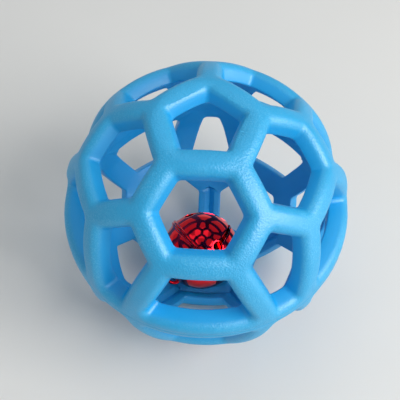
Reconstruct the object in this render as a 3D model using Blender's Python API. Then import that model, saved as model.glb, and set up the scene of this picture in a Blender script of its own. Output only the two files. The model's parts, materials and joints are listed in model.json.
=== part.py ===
"""Rubber lattice dog ball with a loose jingle bell inside.

The ball is two mirrored rubber half lattices bonded along an equator ring. Each half has a
pole ring, five six-sided holes round it, and five five-sided and five four-sided holes that
stand on the equator. The bell is two pressed half shells with a crimped bead, a wire loop on
the crown and a loose pellet. Metres, +Z up, origin on the floor under the ball's middle.
"""

import math

import bmesh
import bpy
from mathutils import Matrix, Vector

# Ball
BALL_DIAMETER = 0.0900
WALL_THICKNESS = 0.0055
STRUT_WIDTH = 0.0071
STRUT_INNER_WIDTH = 0.0081
HOLE_CORNER_RADIUS = 0.0015
OUTER_RIM_ROUNDING = 0.0025
INNER_RIM_ROUNDING = 0.0006
GROOVE_WIDTH = 0.0034
GROOVE_DEPTH = 0.0014
POLE_FLAT_DEPTH = 0.0006
BOND_GAP = 0.0003
BOND_LAND = 0.0009
BOND_LAND_HALF_WIDTH = 0.0045
BOND_LAND_FADE = 0.0045

# Lattice directions, in degrees: angles from the pole, and turns to each side of a sector
SECTORS = 5
POLE_RING_ANGLE = 21.5
SPOKE_END_ANGLE = 42.2
SHOULDER_ANGLE = 57.1
SHOULDER_HALF_TURN = 15.8
EQUATOR_HALF_TURN = 28.0
EQUATOR_ANGLE = 90.0

# Bell
BELL_DIAMETER = 0.0265
BELL_WALL = 0.0008
BEAD_RADIUS = 0.0009
BEAD_RISE = 0.0008
BEAD_ARC_ANGLE = 60.0
BEAD_SEAM_GAP = 0.0003
BELL_SEAT_CLEARANCE = 0.0003
BELL_LEAN = 0.0028
BELL_HEADING = 132.0
BELL_PITCH = 22.0
BELL_ROLL = 37.0
SLOT_COUNT = 2
SLOT_WIDTH = 0.0015
SLOT_END_RADIUS = 0.0018
SLOT_HALF_SPREAD = 65.0

# Loop on the bell's crown
LOOP_WIRE_RADIUS = 0.0006
LOOP_HALF_SPAN = 0.0022
LOOP_HEIGHT = 0.0026
LOOP_FOOT_LENGTH = 0.0016
LOOP_FIT = 0.0003

# Pellet
PELLET_RADIUS = 0.0030
PELLET_CLEARANCE = 0.0003

# Mesh fineness
EDGE_STEPS = 4
RIM_SEGMENTS = 2
LIP_SEGMENTS = 1
SEAT_STEPS = 40
BELL_SEGMENTS = 32
BELL_ARC_STEPS = 7
BEAD_STEPS = 5
WIRE_RESOLUTION = 2
LOOP_ARC_STEPS = 8
PELLET_SEGMENTS = 20
MERGE_DISTANCE = 1e-6
CREASE_ANGLE = 40.0

# Finishes: colour, roughness, metallic
RUBBER_BLUE = ((0.020, 0.400, 0.740), 0.45, 0.0)
BELL_RED = ((0.800, 0.012, 0.034), 0.10, 1.0)
STEEL = ((0.550, 0.550, 0.560), 0.30, 1.0)

BALL_RADIUS = BALL_DIAMETER / 2
INNER_RADIUS = BALL_RADIUS - WALL_THICKNESS
BELL_RADIUS = BELL_DIAMETER / 2
BELL_INNER_RADIUS = BELL_RADIUS - BELL_WALL
SECTOR_TURN = 360.0 / SECTORS
INNER_PLACE = "inner_place"


def clear_scene():
    """Remove every object of the scene."""
    for old in list(bpy.data.objects):
        bpy.data.objects.remove(old, do_unlink=True)


def material(name, finish):
    """Return a plain Principled material."""
    colour, roughness, metallic = finish
    made = bpy.data.materials.new(name)
    made.use_nodes = True
    shader = made.node_tree.nodes["Principled BSDF"]
    shader.inputs["Base Color"].default_value = (*colour, 1.0)
    shader.inputs["Roughness"].default_value = roughness
    shader.inputs["Metallic"].default_value = metallic
    return made


def add_object(name, bm, look, parent=None):
    """Turn a bmesh into a named object, shaded smooth up to a crease."""
    bmesh.ops.recalc_face_normals(bm, faces=bm.faces)
    mesh = bpy.data.meshes.new(name)
    bm.to_mesh(mesh)
    bm.free()
    mesh.materials.append(look)
    mesh.shade_smooth()
    mesh.set_sharp_from_angle(angle=math.radians(CREASE_ANGLE))
    made = bpy.data.objects.new(name, mesh)
    bpy.context.scene.collection.objects.link(made)
    made.parent = parent
    return made


def direction(polar, turn):
    """Unit vector at an angle from the pole, turned round from the front (-Y)."""
    polar = math.radians(polar)
    turn = math.radians(turn)
    flat = math.sin(polar)
    return Vector((flat * math.sin(turn), -flat * math.cos(turn), math.cos(polar)))


def pole_cell():
    """Corner directions of the pole hole's cell."""
    return [direction(POLE_RING_ANGLE, SECTOR_TURN * (k + 0.5)) for k in range(SECTORS)]


def sector_cells(front):
    """Corner directions of a sector's three cells, counter-clockwise from outside."""
    half = SECTOR_TURN / 2
    after = front + SECTOR_TURN
    low_left = direction(SHOULDER_ANGLE, front - SHOULDER_HALF_TURN)
    low_right = direction(SHOULDER_ANGLE, front + SHOULDER_HALF_TURN)
    base_left = direction(EQUATOR_ANGLE, front - EQUATOR_HALF_TURN)
    base_right = direction(EQUATOR_ANGLE, front + EQUATOR_HALF_TURN)
    spoke = direction(SPOKE_END_ANGLE, front + half)
    six_sided = [
        direction(POLE_RING_ANGLE, front - half), direction(SPOKE_END_ANGLE, front - half),
        low_left, low_right, spoke, direction(POLE_RING_ANGLE, front + half),
    ]
    five_sided = [
        spoke, low_right, base_right, direction(EQUATOR_ANGLE, after - EQUATOR_HALF_TURN),
        direction(SHOULDER_ANGLE, after - SHOULDER_HALF_TURN),
    ]
    return [six_sided, [low_left, base_left, base_right, low_right], five_sided]


def lattice_cells():
    """Every hole's cell in the upper half."""
    cells = [pole_cell()]
    for k in range(SECTORS):
        cells.extend(sector_cells(k * SECTOR_TURN))
    return cells


def neighbours(loop):
    """Each item of a closed loop with the one after it."""
    return list(zip(loop, loop[1:] + loop[:1]))


def strut_half_width(radius):
    """Half the width of a strut at a radius; the struts widen inwards."""
    depth = (BALL_RADIUS - radius) / WALL_THICKNESS
    return (STRUT_WIDTH + (STRUT_INNER_WIDTH - STRUT_WIDTH) * depth) / 2


def hole_corners(cell, radius, inset=0.0):
    """Sharp corners of a cell's hole at a radius: half a strut, less an inset, in from each edge."""
    offset = math.sin((strut_half_width(radius) - inset) / radius)
    normals = [a.cross(b).normalized() for a, b in neighbours(cell)]
    corners = []
    for corner, before, after in zip(cell, normals[-1:] + normals[:-1], normals):
        base = (before + after) * (offset / (1 + before.dot(after)))
        along = before.cross(after).normalized()
        along *= math.copysign(1.0, along.dot(corner))
        corners.append(base + along * math.sqrt(1 - base.length_squared))
    return corners


def corner_fillet(back, here, ahead, radius):
    """A hole corner's fillet: the point in its middle, and its reach along each side."""
    to_next = (ahead - here).normalized()
    to_last = (back - here).normalized()
    half_angle = to_next.angle(to_last) / 2
    size = HOLE_CORNER_RADIUS / radius
    sink = size / math.sin(half_angle) - size
    middle = here + (to_next + to_last).normalized() * sink
    return middle.normalized(), size / math.tan(half_angle)


def rounded_hole(cell, radius):
    """Directions round a hole at a radius, with a fillet at each corner."""
    corners = hole_corners(cell, radius)
    triples = zip(corners[-1:] + corners[:-1], corners, corners[1:] + corners[:1])
    fillets = [corner_fillet(back, here, ahead, radius) for back, here, ahead in triples]
    loop = []
    for (here, ahead), ((middle, reach), (_, next_reach)) in zip(neighbours(corners), neighbours(fillets)):
        span = (ahead - here).length
        straight = span - reach - next_reach
        loop.append(middle)
        for k in range(EDGE_STEPS - 1):
            along = reach + straight * k / (EDGE_STEPS - 2)
            loop.append(here.slerp(ahead, along / span))
    return loop


def cell_rim(cell):
    """Directions along a cell's own edges, as many as its rounded hole has."""
    return [a.slerp(b, k / EDGE_STEPS) for a, b in neighbours(cell) for k in range(EDGE_STEPS)]


def inner_point(aim):
    """Point of the inner face in a direction; the bond ring stands proud of it by a land."""
    height = abs(aim.z) * INNER_RADIUS
    share = (BOND_LAND_HALF_WIDTH + BOND_LAND_FADE - height) / BOND_LAND_FADE
    return aim * (INNER_RADIUS - BOND_LAND * min(max(share, 0.0), 1.0))


def strut_skin():
    """Outer skin of the upper half: a band of faces round every hole.

    Each vertex also keeps the place on the inner face that lies under it.
    """
    bm = bmesh.new()
    inner_place = bm.verts.layers.float_vector.new(INNER_PLACE)
    for cell in lattice_cells():
        rim = cell_rim(cell)
        pairs = [(rim, rim), (rounded_hole(cell, BALL_RADIUS), rounded_hole(cell, INNER_RADIUS))]
        loops = []
        for outside, inside in pairs:
            loop = [bm.verts.new(aim * BALL_RADIUS) for aim in outside]
            for vert, aim in zip(loop, inside):
                vert[inner_place] = inner_point(aim)
            loops.append(neighbours(loop))
        for (a, b), (c, d) in zip(*loops):
            bm.faces.new((a, b, d, c))
    bmesh.ops.remove_doubles(bm, verts=bm.verts, dist=MERGE_DISTANCE)
    return bm


def on_equator(edge):
    """True for an edge that lies in the bond plane."""
    return all(abs(v.co.z) < MERGE_DISTANCE for v in edge.verts)


def is_lip(edge, inner_faces):
    """True for an edge between a hole's wall and the inner face."""
    return not on_equator(edge) and len(inner_faces.intersection(edge.link_faces)) == 1


def cut_grooves(bm, inner_faces, lips):
    """Sink a groove along the inner faces of the pole ring and the spokes; it runs out at their ends."""
    lip_verts = {v for e in lips for v in e.verts}
    spoke_end = math.cos(math.radians(SPOKE_END_ANGLE))
    shoulders = []
    sunk = set()
    for edge in bm.edges[:]:
        middle = [v for v in edge.verts if v not in lip_verts]
        if len(middle) != 1 or not inner_faces.issuperset(edge.link_faces):
            continue
        height = middle[0].co.normalized().z - spoke_end
        if height > -MERGE_DISTANCE:
            shoulders.append(bmesh.utils.edge_split(edge, middle[0], GROOVE_WIDTH / STRUT_INNER_WIDTH)[1])
        if height > MERGE_DISTANCE:
            sunk.add(middle[0])
    bmesh.ops.connect_verts(bm, verts=shoulders)
    for vert in sunk:
        vert.co += vert.co.normalized() * GROOVE_DEPTH


def round_rims(bm, edges, offset, segments):
    """Round a set of hole rims."""
    bmesh.ops.bevel(
        bm, geom=edges, offset=offset, segments=segments, profile=0.5,
        affect="EDGES", clamp_overlap=True, material=-1,
    )


def cut_flat(bm):
    """Cut the pole ring flat, so that the ball can stand on it."""
    cut = bmesh.ops.bisect_plane(
        bm, geom=bm.verts[:] + bm.edges[:] + bm.faces[:], dist=MERGE_DISTANCE,
        plane_co=(0, 0, flat_height()), plane_no=(0, 0, 1), clear_outer=True,
    )
    edges = [e for e in cut["geom_cut"] if isinstance(e, bmesh.types.BMEdge)]
    bmesh.ops.triangle_fill(bm, edges=edges, use_beauty=True, normal=(0, 0, 1))


def half_lattice():
    """The upper half lattice, centred on the ball's middle."""
    bm = strut_skin()
    rims = [e for e in bm.edges if e.is_boundary and not on_equator(e)]
    grown = bmesh.ops.extrude_face_region(bm, geom=bm.faces[:], use_keep_orig=True)["geom"]
    inner_place = bm.verts.layers.float_vector[INNER_PLACE]
    for vert in (item for item in grown if isinstance(item, bmesh.types.BMVert)):
        vert.co = vert[inner_place]
    inner_faces = {item for item in grown if isinstance(item, bmesh.types.BMFace)}
    lips = [e for e in bm.edges if is_lip(e, inner_faces)]
    cut_grooves(bm, inner_faces, lips)
    bmesh.ops.recalc_face_normals(bm, faces=bm.faces)
    round_rims(bm, rims, OUTER_RIM_ROUNDING, RIM_SEGMENTS)
    round_rims(bm, [e for e in lips if e.is_valid], INNER_RIM_ROUNDING, LIP_SEGMENTS)
    cut_flat(bm)
    for vert in bm.verts:
        if abs(vert.co.z) < BOND_GAP / 2:
            vert.co.z = BOND_GAP / 2
    return bm


def flat_height():
    """Height of the flat on the pole ring over the ball's middle."""
    half = math.radians(SECTOR_TURN / 2)
    side = math.atan(math.tan(math.radians(POLE_RING_ANGLE)) * math.cos(half))
    crest = side - (STRUT_WIDTH / 2 - OUTER_RIM_ROUNDING) / BALL_RADIUS
    return BALL_RADIUS * math.cos(crest) - POLE_FLAT_DEPTH


def make_ball(look):
    """Both half lattices, the lower one mirrored."""
    centre = Vector((0, 0, flat_height()))
    upper = add_object("upper_half_shell", half_lattice(), look)
    upper.location = centre
    mirrored = half_lattice()
    bmesh.ops.scale(mirrored, vec=(1, 1, -1), verts=mirrored.verts)
    lower = add_object("lower_half_shell", mirrored, look)
    lower.location = centre


def bell_turn():
    """Turn of the bell; its own +Z points out of the slotted half."""
    heading = Matrix.Rotation(math.radians(BELL_HEADING), 4, "Z")
    lean = Matrix.Rotation(math.radians(EQUATOR_ANGLE - BELL_PITCH), 4, "X")
    return heading @ lean @ Matrix.Rotation(math.radians(BELL_ROLL), 4, "Z")


def lip_points():
    """Points round the lower pole hole's rounded lip, from the ball's middle."""
    points = []
    for k in range(LIP_SEGMENTS + 1):
        round_angle = math.pi / 2 * k / LIP_SEGMENTS
        radius = INNER_RADIUS + INNER_RIM_ROUNDING * (1 - math.cos(round_angle))
        inset = INNER_RIM_ROUNDING * (1 - math.sin(round_angle))
        for a, b in neighbours(hole_corners(pole_cell(), radius, inset)):
            points.extend(a.slerp(b, step / SEAT_STEPS) * radius for step in range(SEAT_STEPS))
    return [Vector((p.x, p.y, -p.z)) for p in points]


def resting_height(place, axis, lip):
    """Lowest height of the bell's middle over a spot where neither body nor bead enters the lip."""
    bead_half = BEAD_SEAM_GAP / 2 + 2 * BEAD_RADIUS
    body = BELL_RADIUS + BELL_SEAT_CLEARANCE
    height = -BALL_RADIUS
    for point in lip:
        out = (point - place).to_2d().length
        for reach, everywhere in ((body, True), (body + BEAD_RISE, False)):
            if out >= reach:
                continue
            middle = point.z + math.sqrt(reach ** 2 - out ** 2)
            side = (point - Vector((place.x, place.y, middle))).dot(axis)
            if everywhere or abs(side) < bead_half:
                height = max(height, middle)
    return height


def bell_middle():
    """Where the bell lies, from the ball's middle: on the lip, leaning into its front left corner."""
    axis = bell_turn().to_3x3() @ Vector((0, 0, 1))
    place = direction(EQUATOR_ANGLE, -SECTOR_TURN / 2) * BELL_LEAN
    place.z = resting_height(place, axis, lip_points())
    return place


def bell_frame():
    """Empty at the bell's middle, turned as the bell is."""
    frame = bpy.data.objects.new("bell_frame", None)
    bpy.context.scene.collection.objects.link(frame)
    place = Vector((0, 0, flat_height())) + bell_middle()
    frame.matrix_world = Matrix.Translation(place) @ bell_turn()
    return frame


def arc(radius, start, end, steps):
    """Points of an arc in the XZ plane, by angles from +X."""
    angles = [start + (end - start) * k / steps for k in range(steps + 1)]
    return [Vector((radius * math.cos(a), 0, radius * math.sin(a))) for a in angles]


def shell_profile():
    """Half-shell profile in the XZ plane, from the outer pole round the bead to the inner pole."""
    lift = BEAD_SEAM_GAP / 2
    pole = math.pi / 2
    shoulder = math.asin((lift + 2 * BEAD_RADIUS) / BELL_RADIUS)
    outer = arc(BELL_RADIUS, pole, shoulder, BELL_ARC_STEPS)
    bead_middle = Vector((BELL_RADIUS + BEAD_RISE - BEAD_RADIUS, 0, lift))
    bead = [bead_middle + p for p in arc(BEAD_RADIUS, math.radians(BEAD_ARC_ANGLE), 0, BEAD_STEPS)]
    inner = arc(BELL_INNER_RADIUS, math.asin(lift / BELL_INNER_RADIUS), pole, BELL_ARC_STEPS)
    for end in (outer[0], inner[-1]):
        end.x = 0
    return outer + bead + inner


def half_bell():
    """A pressed half shell, open at its rim, pole along +Z."""
    bm = bmesh.new()
    chain = [bm.verts.new(point) for point in shell_profile()]
    for a, b in zip(chain, chain[1:]):
        bm.edges.new((a, b))
    bmesh.ops.spin(
        bm, geom=bm.verts[:] + bm.edges[:], cent=(0, 0, 0), axis=(0, 0, 1),
        angle=2 * math.pi, steps=BELL_SEGMENTS, use_merge=True,
    )
    bmesh.ops.remove_doubles(bm, verts=bm.verts, dist=MERGE_DISTANCE)
    bmesh.ops.dissolve_degenerate(bm, edges=bm.edges, dist=MERGE_DISTANCE)
    return bm


def cutter(name, bm, frame):
    """A hidden cutting body in the bell's frame."""
    made = add_object(name, bm, bpy.data.materials["bell_red"], frame)
    made.hide_render = True
    made.display_type = "WIRE"
    return made


def cut_with(target, tool):
    """Take one body out of another."""
    step = target.modifiers.new(tool.name, "BOOLEAN")
    step.operation = "DIFFERENCE"
    step.solver = "EXACT"
    step.object = tool


def add_cylinder(bm, radius, place):
    """A closed cylinder from the bell's middle outwards along its own +Z, put in place by a matrix."""
    bmesh.ops.create_cone(
        bm, cap_ends=True, segments=BELL_SEGMENTS // 2, radius1=radius, radius2=radius,
        depth=BELL_RADIUS, matrix=place @ Matrix.Translation((0, 0, BELL_RADIUS)),
    )


def slot_cutter(turn, frame):
    """One sound slot across the pole."""
    bar = bmesh.new()
    arm = BELL_INNER_RADIUS * math.sin(math.radians(SLOT_HALF_SPREAD))
    size = Matrix.Diagonal((2 * arm, SLOT_WIDTH, BELL_DIAMETER, 1))
    raised = Matrix.Translation((0, 0, BELL_RADIUS))
    bmesh.ops.create_cube(bar, size=1, matrix=Matrix.Rotation(turn, 4, "Z") @ raised @ size)
    return cutter(f"slot_cutter_{round(math.degrees(turn))}", bar, frame)


def slot_end_cutters(frame):
    """The round holes at the ends of the slots, as one set of bodies."""
    ends = bmesh.new()
    lean = Matrix.Rotation(math.radians(SLOT_HALF_SPREAD), 4, "Y")
    for k in range(2 * SLOT_COUNT):
        add_cylinder(ends, SLOT_END_RADIUS, Matrix.Rotation(k * math.pi / SLOT_COUNT, 4, "Z") @ lean)
    return cutter("slot_end_cutter", ends, frame)


def make_bell(frame, look):
    """Crown half with the loop's holes, and slotted half with its crossed slots."""
    slotted = add_object("bell_slotted_half", half_bell(), look, frame)
    for k in range(SLOT_COUNT):
        cut_with(slotted, slot_cutter(k * math.pi / SLOT_COUNT, frame))
    cut_with(slotted, slot_end_cutters(frame))
    turned = half_bell()
    bmesh.ops.rotate(turned, cent=(0, 0, 0), matrix=Matrix.Rotation(math.pi, 3, "X"), verts=turned.verts)
    crown = add_object("bell_crown_half", turned, look, frame)
    holes = bmesh.new()
    for side in (-1, 1):
        place = Matrix.Translation((side * LOOP_HALF_SPAN, 0, -2 * BELL_RADIUS))
        add_cylinder(holes, LOOP_WIRE_RADIUS + LOOP_FIT, place)
    cut_with(crown, cutter("loop_hole_cutter", holes, frame))


def loop_path():
    """Wire path of the loop: foot inside the crown, leg, bow, leg, foot."""
    foot_out = LOOP_HALF_SPAN + LOOP_FOOT_LENGTH
    reach = math.sqrt(BELL_INNER_RADIUS ** 2 - (foot_out + LOOP_WIRE_RADIUS) ** 2)
    foot_drop = reach - LOOP_WIRE_RADIUS - LOOP_FIT
    bow = BELL_RADIUS + LOOP_HEIGHT - LOOP_HALF_SPAN - LOOP_WIRE_RADIUS
    bow_middle = Vector((0, 0, -bow))
    path = [Vector((foot_out, 0, -foot_drop)), Vector((LOOP_HALF_SPAN, 0, -foot_drop))]
    path.extend(bow_middle + p for p in arc(LOOP_HALF_SPAN, 0, -math.pi, LOOP_ARC_STEPS))
    path.extend([Vector((-LOOP_HALF_SPAN, 0, -foot_drop)), Vector((-foot_out, 0, -foot_drop))])
    return path


def make_loop(frame, look):
    """Bent wire loop on the crown."""
    curve = bpy.data.curves.new("bell_loop", "CURVE")
    curve.dimensions = "3D"
    curve.bevel_depth = LOOP_WIRE_RADIUS
    curve.bevel_resolution = WIRE_RESOLUTION
    curve.use_fill_caps = True
    path = loop_path()
    line = curve.splines.new("POLY")
    line.points.add(len(path) - 1)
    for point, place in zip(line.points, path):
        point.co = (*place, 1)
    curve.materials.append(look)
    made = bpy.data.objects.new("bell_loop", curve)
    bpy.context.scene.collection.objects.link(made)
    made.parent = frame


def make_pellet(frame, look):
    """Loose pellet on the bottom of the bell; its origin is on the bell's middle."""
    run = BELL_INNER_RADIUS - PELLET_RADIUS - PELLET_CLEARANCE
    bm = bmesh.new()
    bmesh.ops.create_uvsphere(
        bm, u_segments=PELLET_SEGMENTS, v_segments=PELLET_SEGMENTS // 2, radius=PELLET_RADIUS,
        matrix=Matrix.Translation((0, 0, -run)),
    )
    pellet = add_object("bell_pellet", bm, look)
    pellet.location = frame.location


def main():
    """Build the ball, then the bell in it."""
    clear_scene()
    make_ball(material("blue_rubber", RUBBER_BLUE))
    frame = bell_frame()
    red = material("bell_red", BELL_RED)
    make_bell(frame, red)
    make_loop(frame, red)
    make_pellet(frame, material("pellet_steel", STEEL))


main()
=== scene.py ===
"""Looks of the rubber lattice dog ball with a loose jingle bell inside.

The ball is two bonded half lattices of moulded rubber. The bell is two pressed half shells of
bright red metal with a crimped bead, a wire loop on the crown and a steel pellet. Metres, +Z up,
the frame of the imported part.
"""

import json
import logging
import math
from collections.abc import Iterable, Mapping
from dataclasses import dataclass
from enum import Enum
from typing import Any

import bmesh
import bpy
from mathutils import Euler, Matrix, Vector

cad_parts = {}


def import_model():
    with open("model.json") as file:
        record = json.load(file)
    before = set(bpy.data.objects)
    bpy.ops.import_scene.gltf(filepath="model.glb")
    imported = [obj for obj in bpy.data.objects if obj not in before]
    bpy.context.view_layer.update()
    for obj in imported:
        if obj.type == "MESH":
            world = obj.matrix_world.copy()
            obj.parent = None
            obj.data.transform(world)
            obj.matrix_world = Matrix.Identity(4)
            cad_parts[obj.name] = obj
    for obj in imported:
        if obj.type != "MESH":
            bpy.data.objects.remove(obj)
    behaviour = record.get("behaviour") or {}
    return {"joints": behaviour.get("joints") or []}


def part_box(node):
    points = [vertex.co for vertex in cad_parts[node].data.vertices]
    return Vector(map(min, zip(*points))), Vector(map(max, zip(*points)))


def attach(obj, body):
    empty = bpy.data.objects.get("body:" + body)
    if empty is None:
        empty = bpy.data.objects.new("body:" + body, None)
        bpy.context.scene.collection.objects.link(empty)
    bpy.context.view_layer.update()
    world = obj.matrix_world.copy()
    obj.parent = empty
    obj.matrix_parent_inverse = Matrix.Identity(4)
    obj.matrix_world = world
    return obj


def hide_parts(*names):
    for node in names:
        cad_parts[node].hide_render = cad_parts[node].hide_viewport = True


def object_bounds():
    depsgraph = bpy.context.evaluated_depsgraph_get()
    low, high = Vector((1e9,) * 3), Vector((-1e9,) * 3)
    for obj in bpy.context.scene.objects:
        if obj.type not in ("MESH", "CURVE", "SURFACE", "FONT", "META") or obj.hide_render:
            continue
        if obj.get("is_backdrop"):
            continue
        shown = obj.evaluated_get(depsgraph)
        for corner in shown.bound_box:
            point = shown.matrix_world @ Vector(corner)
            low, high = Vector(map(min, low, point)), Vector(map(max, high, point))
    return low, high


LOG = logging.getLogger("dog_ball")
MERGE_DISTANCE = 1e-6
SKIN_TOLERANCE = 10 * MERGE_DISTANCE
INNER_PLACE = "inner_place"

Colour = tuple[float, float, float]
Span = tuple[float, float]

WHOLE: Span = (0.0, 1.0)
NOISE_SPAN: Span = (0.3, 0.7)
CLOUD_SPAN: Span = (0.35, 0.7)


class Half(Enum):
    """The two half lattices of the ball, by the sign of their height."""

    UPPER = 1
    LOWER = -1


class BellHalf(Enum):
    """The two pressed half shells of the bell, by the sign of their pole."""

    SLOTTED = 1
    CROWN = -1


class Slot(Enum):
    """Finish slots of the part's record."""

    RUBBER = "rubber"
    BELL_SHELL = "bell_shell"
    BELL_WIRE = "bell_wire"
    PELLET = "pellet"


class Body(Enum):
    """Moving bodies of the part."""

    BALL = "ball"
    BELL = "bell"
    PELLET = "pellet"


def feed(tree: bpy.types.NodeTree, socket: bpy.types.NodeSocket, value: Any) -> None:
    """Link a socket from another one, or set its value.

    Args:
        tree: The node tree that both are in.
        socket: The input socket.
        value: An output socket, or the value to set.
    """
    if isinstance(value, bpy.types.NodeSocket):
        tree.links.new(value, socket)
    else:
        socket.default_value = value


class LookGraph:
    """A material's node graph, grown one node at a time."""

    def __init__(self, name: str) -> None:
        """Start a Principled material.

        Args:
            name: The material's name.
        """
        self.material = bpy.data.materials.new(name)
        self.material.use_nodes = True
        self.tree = self.material.node_tree
        self.shader = self.tree.nodes["Principled BSDF"]

    def add(self, kind: str, settings: Mapping[str, Any], inputs: Mapping[Any, Any]) -> bpy.types.Node:
        """Add a node.

        Args:
            kind: Blender's node type.
            settings: Node properties by name.
            inputs: Input sockets by name or index, each with a value or a socket to link from.

        Returns:
            The new node.
        """
        node = self.tree.nodes.new(kind)
        for key, value in settings.items():
            setattr(node, key, value)
        for key, value in inputs.items():
            feed(self.tree, node.inputs[key], value)
        return node

    def place(self, centre: Vector) -> bpy.types.NodeSocket:
        """Give the object's own coordinates, counted from a centre.

        Args:
            centre: Where the count starts.

        Returns:
            The coordinates' socket.
        """
        coords = self.add("ShaderNodeTexCoord", {}, {})
        moved = self.add(
            "ShaderNodeMapping", {"vector_type": "POINT"},
            {"Vector": coords.outputs["Object"], "Location": -centre},
        )
        return moved.outputs["Vector"]

    def stretch(self, place: bpy.types.NodeSocket, turn: Euler, scale: Vector) -> bpy.types.NodeSocket:
        """Turn and stretch coordinates, for drawn or rolled marks.

        Args:
            place: The coordinates' socket.
            turn: How they are turned.
            scale: How far they are stretched along each axis.

        Returns:
            The new coordinates' socket.
        """
        node = self.add(
            "ShaderNodeMapping", {"vector_type": "TEXTURE"},
            {"Vector": place, "Rotation": turn, "Scale": scale},
        )
        return node.outputs["Vector"]

    def noise(self, place: bpy.types.NodeSocket, scale: float, detail: float,
              roughness: float = 0.55) -> bpy.types.NodeSocket:
        """Add a noise from 0 to 1.

        Args:
            place: The coordinates' socket.
            scale: Waves to the metre.
            detail: Finer layers.
            roughness: Share of the finer layers.

        Returns:
            The noise's socket.
        """
        node = self.add(
            "ShaderNodeTexNoise", {},
            {"Vector": place, "Scale": scale, "Detail": detail, "Roughness": roughness},
        )
        return node.outputs["Fac"]

    def pebbles(self, place: bpy.types.NodeSocket, scale: float,
                smoothness: float = 0.6) -> bpy.types.NodeSocket:
        """Add small smooth pebbles.

        Args:
            place: The coordinates' socket.
            scale: Pebbles to the metre.
            smoothness: How softly they run together.

        Returns:
            The socket of their height.
        """
        node = self.add(
            "ShaderNodeTexVoronoi", {"feature": "SMOOTH_F1"},
            {"Vector": place, "Scale": scale, "Smoothness": smoothness},
        )
        return node.outputs["Distance"]

    def remap(self, value: bpy.types.NodeSocket, old: Span, new: Span = WHOLE) -> bpy.types.NodeSocket:
        """Move a value smoothly from one range to another.

        Args:
            value: The socket to read.
            old: The range that is read.
            new: The range that comes out.

        Returns:
            The remapped socket.
        """
        node = self.add(
            "ShaderNodeMapRange", {"interpolation_type": "SMOOTHSTEP"},
            {"Value": value, "From Min": old[0], "From Max": old[1], "To Min": new[0], "To Max": new[1]},
        )
        return node.outputs["Result"]

    def math(self, operation: str, first: Any, second: Any) -> bpy.types.NodeSocket:
        """Do a sum on two values.

        Args:
            operation: Blender's name of the sum.
            first: A value, or a socket with one.
            second: A value, or a socket with one.

        Returns:
            The result's socket.
        """
        return self.add("ShaderNodeMath", {"operation": operation}, {0: first, 1: second}).outputs[0]

    def length(self, place: bpy.types.NodeSocket) -> bpy.types.NodeSocket:
        """Measure the distance of a place from its centre.

        Args:
            place: The coordinates' socket.

        Returns:
            The distance's socket.
        """
        return self.add("ShaderNodeVectorMath", {"operation": "LENGTH"}, {0: place}).outputs["Value"]

    def blend(self, share: bpy.types.NodeSocket, first: Any, second: Any) -> bpy.types.NodeSocket:
        """Mix two colours.

        Args:
            share: How much of the second colour there is.
            first: A colour, or a socket with one.
            second: A colour, or a socket with one.

        Returns:
            The mixed colour's socket.
        """
        node = self.add("ShaderNodeMix", {"data_type": "RGBA"}, {0: share})
        for index, colour in ((6, first), (7, second)):
            feed(self.tree, node.inputs[index], (*colour, 1.0) if isinstance(colour, tuple) else colour)
        return node.outputs[2]

    def bump(self, height: bpy.types.NodeSocket, distance: float, strength: float,
             below: bpy.types.NodeSocket | None = None) -> bpy.types.NodeSocket:
        """Add a normal that follows a height.

        Args:
            height: The height's socket.
            distance: Height in metres of a value of one.
            strength: Share of the effect.
            below: A normal to start from.

        Returns:
            The bumped normal's socket.
        """
        inputs = {"Height": height, "Distance": distance, "Strength": strength}
        if below is not None:
            inputs["Normal"] = below
        return self.add("ShaderNodeBump", {}, inputs).outputs["Normal"]

    def dress(self, **inputs: Any) -> bpy.types.Material:
        """Feed the shader.

        Args:
            **inputs: Values or sockets by the shader's names, with underscores for spaces.

        Returns:
            The finished material.
        """
        for key, value in inputs.items():
            feed(self.tree, self.shader.inputs[key.replace("_", " ")], value)
        return self.material


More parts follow.
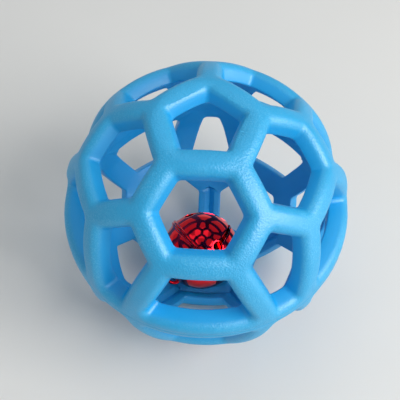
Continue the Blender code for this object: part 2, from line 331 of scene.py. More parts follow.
@dataclass(frozen=True)
class RubberFinish:
    """Moulded blue rubber: pebbled skin, deep blue in the holes, and an outside painted paler, partly as
    pale dust and partly as painted sheen.
    """

    # The paler face colour and the pale dust specks on the outer skin are partly dust and partly painted
    # sheen; deep is the blue of the holes' walls.
    face: Colour = (0.014, 0.385, 0.735)
    deep: Colour = (0.001, 0.385, 0.800)
    dust_and_sheen: Colour = (0.095, 0.520, 0.840)
    pale_from: float = 1.2
    pale_full: float = 0.4
    dust_and_sheen_share: float = 0.6
    speck_span: Span = (0.47, 0.66)
    patch_span: Span = (0.40, 0.62)
    patch_share: Span = (0.2, 1.0)
    tone_scale: float = 55.0
    pebble_scale: float = 1900.0
    pebble_height: float = 0.00014
    pebble_strength: float = 0.6
    pebble_share: Span = (0.15, 1.0)
    grain_scale: float = 2700.0
    grain_height: float = 0.00007
    grain_strength: float = 0.4
    detail: float = 2.0
    roughness: Span = (0.38, 0.50)
    specular: float = 0.70

    def crest(self, ball: "RubberBall") -> Span:
        """Tell where the struts' outer skin begins and where it is full.

        Args:
            ball: The ball that wears the rubber.

        Returns:
            Two distances from the ball's middle.
        """
        start, full = (
            ball.radius - share * ball.outer_rounding for share in (self.pale_from, self.pale_full)
        )
        return start, full

    def build(self, ball: "RubberBall") -> bpy.types.Material:
        """Make the material.

        Args:
            ball: The ball that wears it, for its centre and radii.

        Returns:
            The rubber material.
        """
        look = LookGraph("moulded_blue_rubber")
        place = look.place(ball.centre)
        reach = look.length(place)
        tone = look.noise(place, self.tone_scale, self.detail)
        pebble = look.pebbles(place, self.pebble_scale)
        grain = look.noise(place, self.grain_scale, self.detail)
        crest = self.crest(ball)
        # Painted sheen: the outer skin takes the paler face colour, and the walls of the holes take the
        # deeper blue.
        body = look.blend(look.remap(reach, crest), self.deep, self.face)
        patches = look.remap(tone, self.patch_span, self.patch_share)
        specks = look.math("MULTIPLY", look.remap(grain, self.speck_span), patches)
        # Pale specks over the outer skin, partly dust and partly painted sheen.
        dust_and_sheen_mask = look.math("MULTIPLY", look.remap(reach, crest, (0.0, self.dust_and_sheen_share)), specks)
        relief = look.math("MULTIPLY", pebble, look.remap(reach, crest, self.pebble_share))
        coarse = look.bump(relief, self.pebble_height, self.pebble_strength)
        return look.dress(
            Base_Color=look.blend(dust_and_sheen_mask, body, self.dust_and_sheen),
            Roughness=look.remap(tone, NOISE_SPAN, self.roughness),
            Normal=look.bump(grain, self.grain_height, self.grain_strength, coarse),
            Specular_IOR_Level=self.specular,
        )


@dataclass(frozen=True)
class BrightRedFinish:
    """Bright red lacquer over polished metal, with faint handling marks."""

    red: Colour = (0.860, 0.012, 0.027)
    dark: Colour = (0.680, 0.008, 0.020)
    dark_share: float = 0.6
    cloud_scale: float = 180.0
    cloud_span: Span = (0.3, 0.75)
    cloud_roughness: Span = (0.05, 0.11)
    mark_scale: float = 1600.0
    mark_turn: tuple[float, float, float] = (0.6, 0.2, 0.9)
    mark_stretch: tuple[float, float, float] = (0.05, 1.0, 1.0)
    mark_span: Span = (0.6, 0.8)
    mark_roughness: Span = (0.0, 0.10)
    detail: float = 3.0
    wave_height: float = 0.0002
    wave_strength: float = 0.12
    coat: float = 0.05
    coat_roughness: float = 0.04

    def build(self, centre: Vector) -> bpy.types.Material:
        """Make the material.

        Args:
            centre: The bell's middle.

        Returns:
            The lacquer material.
        """
        look = LookGraph("bright_red_lacquer")
        place = look.place(centre)
        cloud = look.noise(place, self.cloud_scale, self.detail)
        along = look.stretch(place, Euler(self.mark_turn), Vector(self.mark_stretch))
        marks = look.noise(along, self.mark_scale, self.detail)
        rough = look.math(
            "ADD", look.remap(cloud, self.cloud_span, self.cloud_roughness),
            look.remap(marks, self.mark_span, self.mark_roughness),
        )
        return look.dress(
            Base_Color=look.blend(
                look.remap(cloud, CLOUD_SPAN, (0.0, self.dark_share)), self.red, self.dark,
            ),
            Metallic=1.0, Roughness=rough,
            Normal=look.bump(cloud, self.wave_height, self.wave_strength),
            Coat_Weight=self.coat, Coat_Roughness=self.coat_roughness,
        )


@dataclass(frozen=True)
class SteelFinish:
    """Bare steel with tumbled marks."""

    bright: Colour = (0.62, 0.61, 0.59)
    dull: Colour = (0.40, 0.39, 0.38)
    cloud_scale: float = 320.0
    cloud_detail: float = 4.0
    mark_scale: float = 900.0
    mark_detail: float = 5.0
    mark_height: float = 0.00004
    mark_strength: float = 0.3
    roughness: Span = (0.18, 0.38)

    def build(self, centre: Vector) -> bpy.types.Material:
        """Make the material.

        Args:
            centre: The piece's middle.

        Returns:
            The steel material.
        """
        look = LookGraph("tumbled_steel")
        place = look.place(centre)
        cloud = look.noise(place, self.cloud_scale, self.cloud_detail)
        marks = look.noise(place, self.mark_scale, self.mark_detail)
        return look.dress(
            Base_Color=look.blend(look.remap(cloud, CLOUD_SPAN), self.bright, self.dull),
            Metallic=1.0, Roughness=look.remap(marks, NOISE_SPAN, self.roughness),
            Normal=look.bump(marks, self.mark_height, self.mark_strength),
        )


@dataclass(frozen=True)
class FloorFinish:
    """Plain pale floor."""

    pale: Colour = (0.80, 0.79, 0.77)
    shade: Colour = (0.76, 0.75, 0.73)
    cloud_scale: float = 14.0
    detail: float = 3.0
    roughness: float = 0.75
    specular: float = 0.10

    def build(self) -> bpy.types.Material:
        """Make the material.

        Returns:
            The floor's material.
        """
        look = LookGraph("pale_floor")
        cloud = look.noise(look.place(Vector()), self.cloud_scale, self.detail)
        return look.dress(
            Base_Color=look.blend(cloud, self.pale, self.shade), Roughness=self.roughness,
            Specular_IOR_Level=self.specular,
        )


def make_piece(name: str, bm: bmesh.types.BMesh, look: bpy.types.Material,
               crease: float = 30.0) -> bpy.types.Object:
    """Turn a closed mesh into a named piece, shaded smooth up to a crease.

    Args:
        name: The piece's name.
        bm: The mesh, which is freed.
        look: Its material.
        crease: Angle in degrees over which an edge stays sharp.

    Returns:
        The new object.
    """
    bmesh.ops.recalc_face_normals(bm, faces=bm.faces)
    mesh = bpy.data.meshes.new(name)
    bm.to_mesh(mesh)
    bm.free()
    mesh.materials.append(look)
    mesh.shade_smooth()
    mesh.set_sharp_from_angle(angle=math.radians(crease))
    piece = bpy.data.objects.new(name, mesh)
    bpy.context.scene.collection.objects.link(piece)
    return piece


def settle(piece: bpy.types.Object, node: str, body: Body) -> bpy.types.Object:
    """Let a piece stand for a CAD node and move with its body.

    Args:
        piece: The dressed piece.
        node: The CAD node that it stands for.
        body: The body that it moves with.

    Returns:
        The piece.
    """
    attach(piece, body.value)
    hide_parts(node)
    LOG.info("%s: %d faces, on %s", piece.name, len(piece.data.polygons), body.value)
    return piece


@dataclass
class RubberBall:
    """The two bonded half lattices: pole ring, spokes, shoulders and equator ring."""

    centre: Vector
    radius: float = 0.0450
    wall: float = 0.0055
    strut_width: float = 0.0071
    strut_inner_width: float = 0.0081
    corner_radius: float = 0.0015
    outer_rounding: float = 0.0025
    inner_rounding: float = 0.0006
    groove_width: float = 0.0034
    groove_depth: float = 0.0014
    bond_gap: float = 0.00008
    bond_rounding: float = 0.00025
    outer_segments: int = 6
    inner_segments: int = 3
    bond_segments: int = 2
    crease: float = 38.0
    land: float = 0.0009
    land_half_width: float = 0.0045
    land_fade: float = 0.0045
    sectors: int = 5
    pole_ring_angle: float = 21.5
    spoke_end_angle: float = 42.2
    shoulder_angle: float = 57.1
    shoulder_half_turn: float = 15.8
    equator_angle: float = 90.0
    equator_half_turn: float = 28.0
    corner_steps: int = 5
    straight_steps: int = 8
    corner_share: float = 0.17

    @property
    def inner_radius(self) -> float:
        """Radius of the lattice's inner face."""
        return self.radius - self.wall

    @staticmethod
    def direction(polar: float, turn: float) -> Vector:
        """Aim from the ball's middle.

        Args:
            polar: Degrees from the pole.
            turn: Degrees round from the front (-Y).

        Returns:
            The unit vector.
        """
        polar, turn = math.radians(polar), math.radians(turn)
        flat = math.sin(polar)
        return Vector((flat * math.sin(turn), -flat * math.cos(turn), math.cos(polar)))

    def cells(self) -> list[list[Vector]]:
        """List the corner directions of every hole's cell in the upper half.

        Returns:
            One list of unit vectors for each cell.
        """
        step = 360.0 / self.sectors
        half = step / 2
        aim = self.direction
        cells = [[aim(self.pole_ring_angle, half + k * step) for k in range(self.sectors)]]
        for front in (k * step for k in range(self.sectors)):
            after = front + step
            low_left = aim(self.shoulder_angle, front - self.shoulder_half_turn)
            low_right = aim(self.shoulder_angle, front + self.shoulder_half_turn)
            base_left = aim(self.equator_angle, front - self.equator_half_turn)
            base_right = aim(self.equator_angle, front + self.equator_half_turn)
            spoke = aim(self.spoke_end_angle, front + half)
            cells.append([
                aim(self.pole_ring_angle, front - half), aim(self.spoke_end_angle, front - half),
                low_left, low_right, spoke, aim(self.pole_ring_angle, front + half),
            ])
            cells.append([low_left, base_left, base_right, low_right])
            cells.append([
                spoke, low_right, base_right,
                aim(self.equator_angle, after - self.equator_half_turn),
                aim(self.shoulder_angle, after - self.shoulder_half_turn),
            ])
        return cells

    def hole_corners(self, cell: list[Vector], radius: float) -> list[Vector]:
        """Find a hole's sharp corners, half a strut in from each edge of its cell.

        Args:
            cell: The cell's corner directions.
            radius: Distance of the outline from the ball's middle.

        Returns:
            The corners' unit vectors.
        """
        depth = (self.radius - radius) / self.wall
        width = self.strut_width + (self.strut_inner_width - self.strut_width) * depth
        offset = math.sin(width / 2 / radius)
        sides = [a.cross(b).normalized() for a, b in zip(cell, cell[1:] + cell[:1])]
        corners = []
        for corner, before, after in zip(cell, sides[-1:] + sides[:-1], sides):
            base = (before + after) * (offset / (1 + before.dot(after)))
            along = before.cross(after).normalized()
            along *= math.copysign(1.0, along.dot(corner))
            corners.append(base + along * math.sqrt(1 - base.length_squared))
        return corners

    def corner_arc(self, back: Vector, here: Vector, ahead: Vector, radius: float) -> list[Vector]:
        """Round a corner of a hole.

        Args:
            back: The corner before.
            here: The sharp corner.
            ahead: The corner after.
            radius: Distance of the outline from the ball's middle.

        Returns:
            Unit vectors from the last straight to the next one.
        """
        to_next = (ahead - here).normalized()
        to_last = (back - here).normalized()
        half_angle = to_next.angle(to_last) / 2
        fillet = self.corner_radius / radius
        inward = (to_next + to_last).normalized()
        sideways = (to_next - to_last).normalized()
        middle = here + inward * (fillet / math.sin(half_angle))
        sweep = math.pi / 2 - half_angle
        points = []
        for k in range(-self.corner_steps, self.corner_steps + 1):
            turn = sweep * k / self.corner_steps
            across = sideways * (fillet * math.sin(turn))
            points.append(middle - inward * (fillet * math.cos(turn)) + across)
        return [point.normalized() for point in points]

    def hole_loop(self, cell: list[Vector], radius: float) -> list[Vector]:
        """Trace a hole's rounded outline, from the middle of its first corner.

        Args:
            cell: The cell's corner directions.
            radius: Distance of the outline from the ball's middle.

        Returns:
            The outline's unit vectors.
        """
        corners = self.hole_corners(cell, radius)
        backs, aheads = corners[-1:] + corners[:-1], corners[1:] + corners[:1]
        arcs = [self.corner_arc(*triple, radius) for triple in zip(backs, corners, aheads)]
        loop = []
        for arc, following in zip(arcs, arcs[1:] + arcs[:1]):
            loop.extend(arc[self.corner_steps:])
            for k in range(1, self.straight_steps):
                loop.append(arc[-1].slerp(following[0], k / self.straight_steps))
            loop.extend(following[:self.corner_steps])
        return loop

    def cell_loop(self, cell: list[Vector]) -> list[Vector]:
        """Trace a cell's edges with as many points as its hole's outline has.

        Args:
            cell: The cell's corner directions.

        Returns:
            The points' unit vectors.
        """
        near = [self.corner_share * k / self.corner_steps for k in range(self.corner_steps + 1)]
        length = 1 - 2 * self.corner_share
        steps = range(1, self.straight_steps)
        middle = [self.corner_share + length * k / self.straight_steps for k in steps]
        shares = near + middle + [1 - share for share in reversed(near[1:])]
        return [a.slerp(b, share) for a, b in zip(cell, cell[1:] + cell[:1]) for share in shares]

    def inner_point(self, aim: Vector) -> Vector:
        """Find the inner face's point in a direction; the bond ring stands proud of it by a land.

        Args:
            aim: The direction's unit vector.

        Returns:
            The point, from the ball's middle.
        """
        height = abs(aim.z) * self.inner_radius
        share = (self.land_half_width + self.land_fade - height) / self.land_fade
        return aim * (self.inner_radius - self.land * min(max(share, 0.0), 1.0))

    def skin(self) -> bmesh.types.BMesh:
        """Lay the outer skin of the upper half, a band round every hole.

        Each vertex keeps the place on the inner face that lies under it.

        Returns:
            The open mesh.
        """
        bm = bmesh.new()
        inner = bm.verts.layers.float_vector.new(INNER_PLACE)
        for cell in self.cells():
            edge = self.cell_loop(cell)
            hole = [self.hole_loop(cell, radius) for radius in (self.radius, self.inner_radius)]
            rings = []
            for outside, inside in ((edge, edge), hole):
                verts = [bm.verts.new(point * self.radius) for point in outside]
                for vert, point in zip(verts, inside):
                    vert[inner] = self.inner_point(point)
                rings.extend(bm.edges.new(pair) for pair in zip(verts, verts[1:] + verts[:1]))
            bmesh.ops.bridge_loops(bm, edges=rings)
        bmesh.ops.remove_doubles(bm, verts=bm.verts, dist=MERGE_DISTANCE)
        bmesh.ops.recalc_face_normals(bm, faces=bm.faces)
        return bm

    @staticmethod
    def in_bond(edge: bmesh.types.BMEdge) -> bool:
        """Tell whether an edge lies in the bond plane.

        Args:
            edge: The edge.

        Returns:
            True if it does.
        """
        return all(abs(vert.co.z) < MERGE_DISTANCE for vert in edge.verts)

    def on_skin(self, edge: bmesh.types.BMEdge) -> bool:
        """Tell whether both ends of an edge lie on the ball's outside.

        Args:
            edge: The edge.

        Returns:
            True if they do.
        """
        return all(abs(vert.co.length - self.radius) < SKIN_TOLERANCE for vert in edge.verts)

    @staticmethod
    def round_over(bm: bmesh.types.BMesh, edges: Iterable[bmesh.types.BMEdge], size: float,
                   segments: int) -> None:
        """Round a set of edges.

        Args:
            bm: The mesh.
            edges: The edges to round.
            size: How far the rounding reaches on each side.
            segments: Steps of the rounding.
        """
        bmesh.ops.bevel(
            bm, geom=list(edges), offset=size, segments=segments, profile=0.5,
            affect="EDGES", clamp_overlap=True, material=-1,
        )

    def cut_grooves(self, bm: bmesh.types.BMesh, faces: set[bmesh.types.BMFace],
                    lips: list[bmesh.types.BMEdge]) -> None:
        """Sink a groove along the inner faces of the pole ring and the spokes, out to their ends.

        Args:
            bm: The lattice with its wall.
            faces: The inner faces.
            lips: The edges between those faces and the holes' walls.
        """
        lip_verts = {vert for edge in lips for vert in edge.verts}
        spoke_end = math.cos(math.radians(self.spoke_end_angle))
        share = self.groove_width / self.strut_inner_width
        shoulders, sunk = [], set()
        for edge in bm.edges[:]:
            middle = [vert for vert in edge.verts if vert not in lip_verts]
            if len(middle) != 1 or not faces.issuperset(edge.link_faces):
                continue
            height = middle[0].co.normalized().z - spoke_end
            if height > -MERGE_DISTANCE:
                shoulders.append(bmesh.utils.edge_split(edge, middle[0], share)[1])
            if height > MERGE_DISTANCE:
                sunk.add(middle[0])
        bmesh.ops.connect_verts(bm, verts=shoulders)
        for vert in sunk:
            vert.co += vert.co.normalized() * self.groove_depth

    def thicken(self, bm: bmesh.types.BMesh) -> None:
        """Give the skin its wall, groove it inside, then round the rims of its holes.

        Args:
            bm: The skin.
        """
        rims = [edge for edge in bm.edges if edge.is_boundary and not self.in_bond(edge)]
        grown = bmesh.ops.extrude_face_region(bm, geom=bm.faces[:], use_keep_orig=True)["geom"]
        inner = bm.verts.layers.float_vector[INNER_PLACE]
        for vert in (item for item in grown if isinstance(item, bmesh.types.BMVert)):
            vert.co = vert[inner]
        faces = {item for item in grown if isinstance(item, bmesh.types.BMFace)}
        lips = [
            edge for edge in bm.edges
            if len(faces.intersection(edge.link_faces)) == 1 and not self.in_bond(edge)
        ]
        self.cut_grooves(bm, faces, lips)
        bmesh.ops.recalc_face_normals(bm, faces=bm.faces)
        self.round_over(bm, rims, self.outer_rounding, self.outer_segments)
        lips = [edge for edge in lips if edge.is_valid]
        self.round_over(bm, lips, self.inner_rounding, self.inner_segments)

    def cut_flat(self, bm: bmesh.types.BMesh) -> None:
        """Cut the pole ring flat where the ball stands.

        Args:
            bm: The lattice, round the origin.
        """
        cut = bmesh.ops.bisect_plane(
            bm, geom=bm.verts[:] + bm.edges[:] + bm.faces[:], dist=MERGE_DISTANCE,
            plane_co=(0, 0, self.centre.z), plane_no=(0, 0, 1), clear_outer=True,
        )["geom_cut"]
        edges = [item for item in cut if isinstance(item, bmesh.types.BMEdge)]
        bmesh.ops.triangle_fill(bm, edges=edges, use_beauty=True, normal=(0, 0, 1))

    def draw_in(self, bm: bmesh.types.BMesh, node: str) -> None:
        """Draw the lattice in across the ball until it fits its CAD node's box.

        Args:
            bm: The lattice, round the origin.
            node: The CAD node.
        """
        low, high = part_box(node)
        reach = max(abs(vert.co.x) for vert in bm.verts)
        bmesh.ops.scale(bm, vec=(min(1.0, (high.x - low.x) / 2 / reach), 1, 1), verts=bm.verts)

    def half(self, half: Half, node: str) -> bmesh.types.BMesh:
        """Make one half lattice in its place.

        Args:
            half: Which half it is.
            node: The CAD node that it stands for.

        Returns:
            The closed mesh.
        """
        bm = self.skin()
        self.thicken(bm)
        bond = [edge for edge in bm.edges if self.in_bond(edge) and self.on_skin(edge)]
        self.round_over(bm, bond, self.bond_rounding, self.bond_segments)
        self.cut_flat(bm)
        for vert in bm.verts:
            vert.co.z = max(vert.co.z, self.bond_gap / 2)
        self.draw_in(bm, node)
        bmesh.ops.scale(bm, vec=(1, 1, half.value), verts=bm.verts)
        bmesh.ops.translate(bm, vec=self.centre, verts=bm.verts)
        return bm

    def build(self, finish: RubberFinish) -> list[bpy.types.Object]:
        """Build and dress both halves.

        Args:
            finish: The rubber's finish.

        Returns:
            The two pieces.
        """
        look = finish.build(self)
        pieces = []
        for half in Half:
            side = half.name.lower()
            node = f"{side}_half_shell"
            piece = make_piece(f"rubber_{side}_half", self.half(half, node), look, self.crease)
            pieces.append(settle(piece, node, Body.BALL))
        return pieces


@dataclass
class JingleBell:
    """The loose bell: crown half, slotted half and wire loop."""

    centre: Vector
    radius: float = 0.01325
    wall: float = 0.0008
    bead_radius: float = 0.0009
    bead_rise: float = 0.0008
    bead_sweep: float = 75.0
    seam_gap: float = 0.0003
    heading: float = 132.0
    pitch: float = 22.0
    roll: float = 37.0
    slot_arms: int = 4
    slot_width: float = 0.0015
    slot_end_radius: float = 0.0018
    slot_half_spread: float = 65.0
    edge_softening: float = 0.00014
    soft_segments: int = 2
    shell_crease: float = 40.0
    wire_radius: float = 0.0006
    loop_half_span: float = 0.0022
    loop_height: float = 0.0026
    loop_foot: float = 0.0016
    loop_fit: float = 0.0003
    loop_crease: float = 50.0
    wire_resolution: int = 5
    around: int = 96
    arc_steps: int = 24
    bead_steps: int = 12

    @property
    def inner_radius(self) -> float:
        """Radius of the shell's inner face."""
        return self.radius - self.wall

    @property
    def place(self) -> Matrix:
        """Matrix from the bell's own frame, +Z out of the slotted half, to the part's."""
        turn = Euler((math.radians(90 - self.pitch), 0, math.radians(self.heading)), "XYZ")
        spin = Matrix.Rotation(math.radians(self.roll), 4, "Z")
        return Matrix.Translation(self.centre) @ turn.to_matrix().to_4x4() @ spin

    def profile(self) -> list[tuple[float, float]]:
        """Trace the half shell's section, from the outer pole round the bead to the inner pole.

        Returns:
            Distances from the axis, each with its height.
        """
        lift = self.seam_gap / 2
        start = math.asin((lift + 2 * self.bead_radius) / self.radius)
        steps = range(self.arc_steps + 1)
        outer = [math.pi / 2 + (start - math.pi / 2) * k / self.arc_steps for k in steps]
        low = math.asin(lift / self.inner_radius)
        inner = [low + (math.pi / 2 - low) * k / self.arc_steps for k in steps]
        middle = self.radius + self.bead_rise - self.bead_radius
        sweep = math.radians(self.bead_sweep)
        bead = [sweep * (1 - k / self.bead_steps) for k in range(self.bead_steps + 1)]
        points = []
        for angles, radius, out, up in (
            (outer, self.radius, 0.0, 0.0),
            (bead, self.bead_radius, middle, lift),
            (inner, self.inner_radius, 0.0, 0.0),
        ):
            points += [(out + radius * math.cos(a), up + radius * math.sin(a)) for a in angles]
        return points

    def shell(self) -> bmesh.types.BMesh:
        """Press a half shell with its pole along +Z.

        Returns:
            The closed mesh.
        """
        bm = bmesh.new()
        chain = [bm.verts.new((x, 0, z)) for x, z in self.profile()]
        for pair in zip(chain, chain[1:]):
            bm.edges.new(pair)
        bmesh.ops.spin(
            bm, geom=bm.verts[:] + bm.edges[:], cent=(0, 0, 0), axis=(0, 0, 1),
            angle=2 * math.pi, steps=self.around, use_merge=True,
        )
        bmesh.ops.remove_doubles(bm, verts=bm.verts, dist=MERGE_DISTANCE)
        bmesh.ops.dissolve_degenerate(bm, edges=bm.edges, dist=MERGE_DISTANCE)
        return bm

    def rod(self, bm: bmesh.types.BMesh, radius: float, place: Matrix) -> None:
        """Add a punch for a round hole to a mesh.

        Args:
            bm: The mesh.
            radius: The hole's radius.
            place: Matrix that aims the punch's +Z out of the bell.
        """
        bmesh.ops.create_cone(
            bm, cap_ends=True, segments=self.around // 2, radius1=radius, radius2=radius,
            depth=self.radius, matrix=place @ Matrix.Translation((0, 0, self.radius)),
        )

    def punches(self, half: BellHalf) -> list[bmesh.types.BMesh]:
        """Make the punches that cut a half shell's holes.

        Args:
            half: Which half shell is cut.

        Returns:
            Separate meshes, each without overlaps.
        """
        rods = bmesh.new()
        if half is BellHalf.CROWN:
            for side in (-1, 1):
                place = Matrix.Translation((side * self.loop_half_span, 0, 0))
                self.rod(rods, self.wire_radius + self.loop_fit, place)
            return [rods]
        spread = math.radians(self.slot_half_spread)
        arm = self.inner_radius * math.sin(spread)
        bars = []
        lift = Matrix.Translation((0, 0, self.radius))
        size = Matrix.Diagonal((2 * arm, self.slot_width, 2 * self.radius, 1))
        for k in range(self.slot_arms):
            turn = Matrix.Rotation(2 * math.pi * k / self.slot_arms, 4, "Z")
            self.rod(rods, self.slot_end_radius, turn @ Matrix.Rotation(spread, 4, "Y"))
            if k < self.slot_arms // 2:
                bar = bmesh.new()
                bmesh.ops.create_cube(bar, size=1, matrix=turn @ lift @ size)
                bars.append(bar)
        return bars + [rods]

    def punched(self, half: BellHalf, look: bpy.types.Material) -> bpy.types.Object:
        """Cut a half shell's holes and soften its edges.

        Args:
            half: Which half shell it is.
            look: Its material.

        Returns:
            The piece, in its place.
        """
        blank = make_piece("bell_blank", self.shell(), look, self.shell_crease)
        tools = []
        for bm in self.punches(half):
            tool = make_piece("bell_punch", bm, look, self.shell_crease)
            cut = blank.modifiers.new("punch", "BOOLEAN")
            cut.operation = "DIFFERENCE"
            cut.solver = "EXACT"
            cut.object = tool
            tools.append(tool)
        soft = blank.modifiers.new("soft_edges", "BEVEL")
        soft.width = self.edge_softening
        soft.segments = self.soft_segments
        soft.limit_method = "ANGLE"
        soft.angle_limit = math.radians(self.shell_crease)
        shaped = blank.evaluated_get(bpy.context.evaluated_depsgraph_get())
        bm = bmesh.new()
        bm.from_mesh(shaped.data)
        for used in [blank, *tools]:
            bpy.data.objects.remove(used, do_unlink=True)
        if half is BellHalf.CROWN:
            over = Matrix.Rotation(math.pi, 3, "X")
            bmesh.ops.rotate(bm, cent=(0, 0, 0), matrix=over, verts=bm.verts)
        bmesh.ops.transform(bm, matrix=self.place, verts=bm.verts)
        return make_piece(f"bell_{half.name.lower()}_shell", bm, look, self.shell_crease)

    def loop_path(self) -> list[Vector]:
        """Trace the wire: foot inside the crown, leg, bow, leg, foot.

        Returns:
            Points in the bell's own frame.
        """
        foot_out = self.loop_half_span + self.loop_foot
        reach = math.sqrt(self.inner_radius ** 2 - (foot_out + self.wire_radius) ** 2)
        drop = reach - self.wire_radius - self.loop_fit
        bow = self.radius + self.loop_height - self.loop_half_span - self.wire_radius
        path = [Vector((foot_out, 0, -drop)), Vector((self.loop_half_span, 0, -drop))]
        for k in range(self.arc_steps + 1):
            turn = math.pi * k / self.arc_steps
            side = self.loop_half_span * math.cos(turn)
            path.append(Vector((side, 0, -bow - self.loop_half_span * math.sin(turn))))
        path += [Vector((-self.loop_half_span, 0, -drop)), Vector((-foot_out, 0, -drop))]
        return path

    def loop(self, look: bpy.types.Material) -> bpy.types.Object:
        """Bend the wire loop in its place.

        Args:
            look: Its material.

        Returns:
            The piece.
        """
        curve = bpy.data.curves.new("bell_wire", "CURVE")
        curve.dimensions = "3D"
        curve.bevel_depth = self.wire_radius
        curve.bevel_resolution = self.wire_resolution
        curve.use_fill_caps = True
        line = curve.splines.new("POLY")
        path = self.loop_path()
        line.points.add(len(path) - 1)
        for point, spot in zip(line.points, path):
            point.co = (*spot, 1)
        wire = bpy.data.objects.new("bell_wire", curve)
        bpy.context.scene.collection.objects.link(wire)
        shaped = wire.evaluated_get(bpy.context.evaluated_depsgraph_get())
        bm = bmesh.new()
        bm.from_mesh(shaped.to_mesh())
        bpy.data.objects.remove(wire, do_unlink=True)
        bmesh.ops.remove_doubles(bm, verts=bm.verts, dist=MERGE_DISTANCE)
        bmesh.ops.transform(bm, matrix=self.place, verts=bm.verts)
        return make_piece("bell_wire_loop", bm, look, self.loop_crease)

    def build(self, finish: BrightRedFinish) -> list[bpy.types.Object]:
        """Build and dress the bell.

        Args:
            finish: Finish of both half shells and of the loop.

        Returns:
            The three pieces.
        """
        red = finish.build(self.centre)
        pieces = []
        for half in BellHalf:
            node = f"bell_{half.name.lower()}_half"
            pieces.append(settle(self.punched(half, red), node, Body.BELL))
        pieces.append(settle(self.loop(red), "bell_loop", Body.BELL))
        return pieces


@dataclass
class Pellet:
    """The loose steel pellet, cold-headed with a fine belt round its middle."""

    centre: Vector
    radius: float = 0.0030
    belt_rise: float = 0.00006
    belt_width: float = 0.0007
    belt_share: float = 0.8
    crease: float = 60.0
    around: int = 64

    def build(self, finish: SteelFinish) -> bpy.types.Object:
        """Build and dress the pellet.

        Args:
            finish: Its finish.

        Returns:
            The piece.
        """
        bm = bmesh.new()
        bmesh.ops.create_uvsphere(
            bm, u_segments=self.around, v_segments=self.around // 2,
            radius=self.radius - self.belt_rise,
        )
        for height in (-self.belt_width / 2, self.belt_width / 2):
            bmesh.ops.bisect_plane(
                bm, geom=bm.verts[:] + bm.edges[:] + bm.faces[:], dist=MERGE_DISTANCE,
                plane_co=(0, 0, height), plane_no=(0, 0, 1),
            )
        belt = [face for face in bm.faces if abs(face.calc_center_median().z) < self.belt_width / 2]
        bmesh.ops.inset_region(
            bm, faces=belt, thickness=self.belt_rise, depth=self.belt_rise * self.belt_share,
            use_even_offset=True,
        )
        bmesh.ops.translate(bm, vec=self.centre, verts=bm.verts)
        piece = make_piece("bell_steel_pellet", bm, finish.build(self.centre), self.crease)
        return settle(piece, "bell_pellet", Body.PELLET)


@dataclass(frozen=True)
class Lamp:
    """A soft square lamp that looks at the ball; a sheen lamp is seen by shiny faces only."""

    name: str
    place: Vector
    size: float
    power: float
    colour: Colour
    sheen_only: bool = False

    def build(self, target: Vector) -> bpy.types.Object:
        """Hang the lamp.

        Args:
            target: What it looks at.

        Returns:
            The lamp.
        """
        data = bpy.data.lights.new(self.name, "AREA")
        data.size = self.size
        data.energy = self.power
        data.color = self.colour
        lamp = bpy.data.objects.new(self.name, data)
        lamp.location = self.place
        lamp.visible_diffuse = not self.sheen_only
        lamp.rotation_euler = (target - self.place).to_track_quat("-Z", "Y").to_euler()
        bpy.context.scene.collection.objects.link(lamp)
        return lamp


LAMPS = (
    Lamp("key_lamp", Vector((0.55, -0.24, 0.54)), 0.50, 5.0, (1.0, 0.985, 0.96)),
    Lamp("fill_lamp", Vector((0.00, 0.33, 0.75)), 0.50, 0.5, (0.95, 0.98, 1.0)),
    Lamp("side_panel", Vector((0.67, -0.36, 0.52)), 1.00, 7.0, (1.0, 1.0, 1.0), sheen_only=True),
)


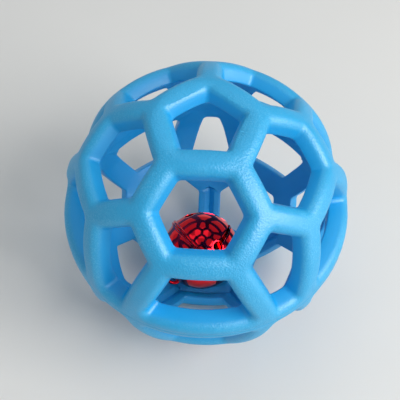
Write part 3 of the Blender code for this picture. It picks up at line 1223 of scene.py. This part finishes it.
@dataclass
class Studio:
    """Pale floor, soft light and the camera."""

    target: Vector
    distance: float = 0.24746
    azimuth: float = 3.29
    elevation: float = 57.58
    roll: float = -0.38
    lens: float = 69.77
    sensor_width: float = 36.0
    shift: tuple[float, float] = (-0.0149, 0.0104)
    clip: Span = (0.01, 20.0)
    ambient: float = 0.44
    mirrored: float = 0.42
    seen: float = 0.62
    ambient_colour: Colour = (0.92, 0.97, 1.0)
    floor_size: float = 4.0

    def floor(self) -> None:
        """Lay the floor."""
        bm = bmesh.new()
        bmesh.ops.create_grid(bm, x_segments=1, y_segments=1, size=self.floor_size / 2)
        make_piece("floor", bm, FloorFinish().build())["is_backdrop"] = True

    def world(self) -> None:
        """Light the room softly; the eye and polished faces see it at levels of their own."""
        world = bpy.data.worlds.new("soft_room")
        world.use_nodes = True
        tree = world.node_tree
        ray = tree.nodes.new("ShaderNodeLightPath")
        level = self.ambient
        for name, strength in (("Is Glossy Ray", self.mirrored), ("Is Camera Ray", self.seen)):
            step = tree.nodes.new("ShaderNodeMix")
            feed(tree, step.inputs["Factor"], ray.outputs[name])
            feed(tree, step.inputs["A"], level)
            feed(tree, step.inputs["B"], strength)
            level = step.outputs["Result"]
        background = tree.nodes["Background"]
        feed(tree, background.inputs["Color"], (*self.ambient_colour, 1.0))
        feed(tree, background.inputs["Strength"], level)
        bpy.context.scene.world = world

    def camera(self) -> None:
        """Stand the camera where it looks down on the ball."""
        azimuth, elevation = math.radians(self.azimuth), math.radians(self.elevation)
        flat = math.cos(elevation)
        back = Vector((math.sin(azimuth) * flat, -math.cos(azimuth) * flat, math.sin(elevation)))
        data = bpy.data.cameras.new("camera")
        data.lens = self.lens
        data.sensor_width = self.sensor_width
        data.shift_x, data.shift_y = self.shift
        data.clip_start, data.clip_end = self.clip
        camera = bpy.data.objects.new("camera", data)
        aim = (-back).to_track_quat("-Z", "Y").to_matrix().to_4x4()
        spin = Matrix.Rotation(math.radians(self.roll), 4, "Z")
        camera.matrix_world = Matrix.Translation(self.target + back * self.distance) @ aim @ spin
        bpy.context.scene.collection.objects.link(camera)
        bpy.context.scene.camera = camera

    def build(self) -> None:
        """Set up floor, lamps, room light and camera."""
        self.floor()
        self.world()
        for lamp in LAMPS:
            lamp.build(self.target)
        self.camera()
        bpy.context.scene.view_settings.view_transform = "Standard"


def joint_place(frame: Mapping[str, Any], name: str) -> Vector:
    """Find a joint in the part's frame.

    Args:
        frame: What the frame holds.
        name: The joint's name.

    Returns:
        The joint's place.
    """
    return Vector(next(joint["pos_m"] for joint in frame["joints"] if joint["name"] == name))


def main() -> None:
    """Load the frame, then build and dress every piece."""
    logging.basicConfig(level=logging.INFO, format="%(message)s")
    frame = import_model()
    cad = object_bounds()
    middle = Vector((0, 0, cad[1].z / 2))
    low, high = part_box("bell_pellet")
    pieces = RubberBall(middle).build(RubberFinish())
    pieces += JingleBell(joint_place(frame, "pellet_roll")).build(BrightRedFinish())
    pieces.append(Pellet((low + high) / 2).build(SteelFinish()))
    Studio(middle).build()
    LOG.info("%d pieces", len(pieces))


if __name__ == "__main__":
    main()
